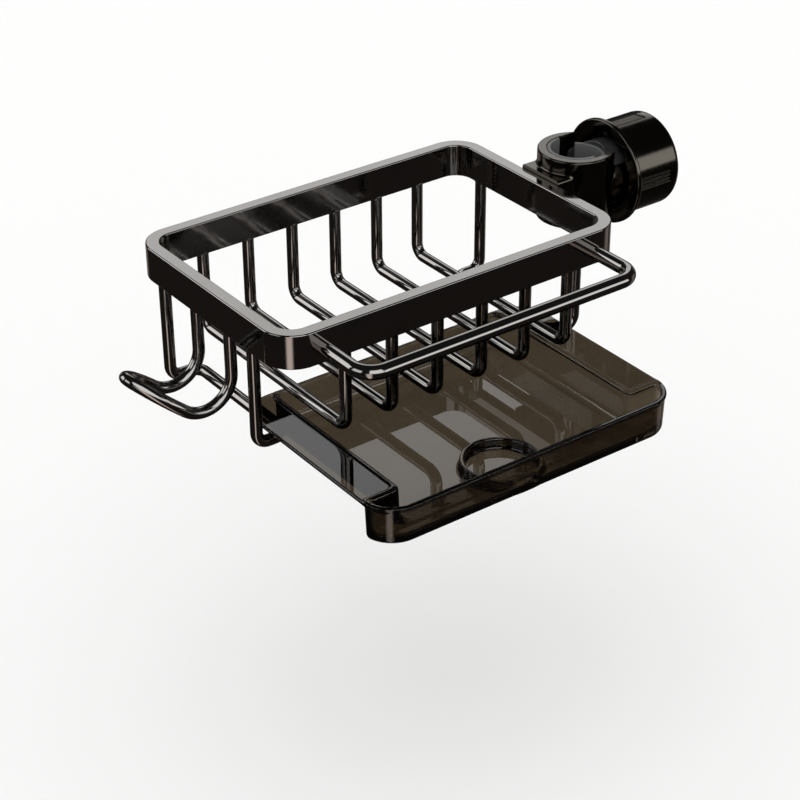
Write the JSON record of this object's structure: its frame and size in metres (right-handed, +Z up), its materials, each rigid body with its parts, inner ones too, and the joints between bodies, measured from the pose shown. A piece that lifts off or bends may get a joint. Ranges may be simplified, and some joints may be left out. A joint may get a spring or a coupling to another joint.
{
  "type": "faucet drainer basket",
  "caption": "Wire drainer basket that clamps on a round upright faucet pipe by a threaded knob, with a towel rail, an end hook and a clear sliding drip tray.",
  "frame": {"origin": "centre of the clamp's bore, on the pipe's axis and level with the middle of the rim band", "axes": "+Z up along the pipe, +X from the basket through the clamp to the knob, -Y towards the towel rail and the tray's front"},
  "size_m": [0.258, 0.1524, 0.0829],
  "materials": {
    "black_chrome": "dark mirror-bright black chrome",
    "clamp_black": "glossy dark grey plated plastic",
    "saddle_black": "satin moulded plastic",
    "liner_grey": "soft matt rubber",
    "washer_white": "smooth slip washer",
    "screw_steel": "bright screw",
    "tray_smoke": "clear smoky brown moulded plastic, polished"
  },
  "bodies": {
    "basket": {"rim_band": "black_chrome", "cross_wire_1": "black_chrome", "cross_wire_2": "black_chrome", "cross_wire_3": "black_chrome", "cross_wire_4": "black_chrome", "cross_wire_5": "black_chrome", "cross_wire_6": "black_chrome", "left_tray_hanger": "black_chrome", "right_tray_hanger": "black_chrome", "towel_rail": "black_chrome", "end_hook": "black_chrome", "clamp_body": "clamp_black", "clamp_liner": "liner_grey", "clamp_screws": "screw_steel"},
    "saddle": {"pressure_saddle": "saddle_black", "saddle_pad": "liner_grey", "slip_washer": "washer_white"},
    "knob": {"clamp_knob": "clamp_black"},
    "tray": {"drip_tray": "tray_smoke"}
  },
  "joints": [
    {"name": "tray_slide", "type": "slide", "parent": "basket", "child": "tray", "axis": [0, -1, 0], "range_m": [-0.0567, 0.02]},
    {"name": "pad_slide", "type": "slide", "parent": "basket", "child": "saddle", "axis": [1, 0, 0], "range_m": [-0.00225, 0.009]},
    {"name": "knob_turn", "type": "hinge", "parent": "saddle", "child": "knob", "pos_m": [0.028, 0, 0], "axis": [1, 0, 0], "range_deg": [-270, 1080]}
  ],
  "couplings": [
    {"joint": "pad_slide", "follows": "knob_turn", "m_per_rad": 0.00047746}
  ]
}
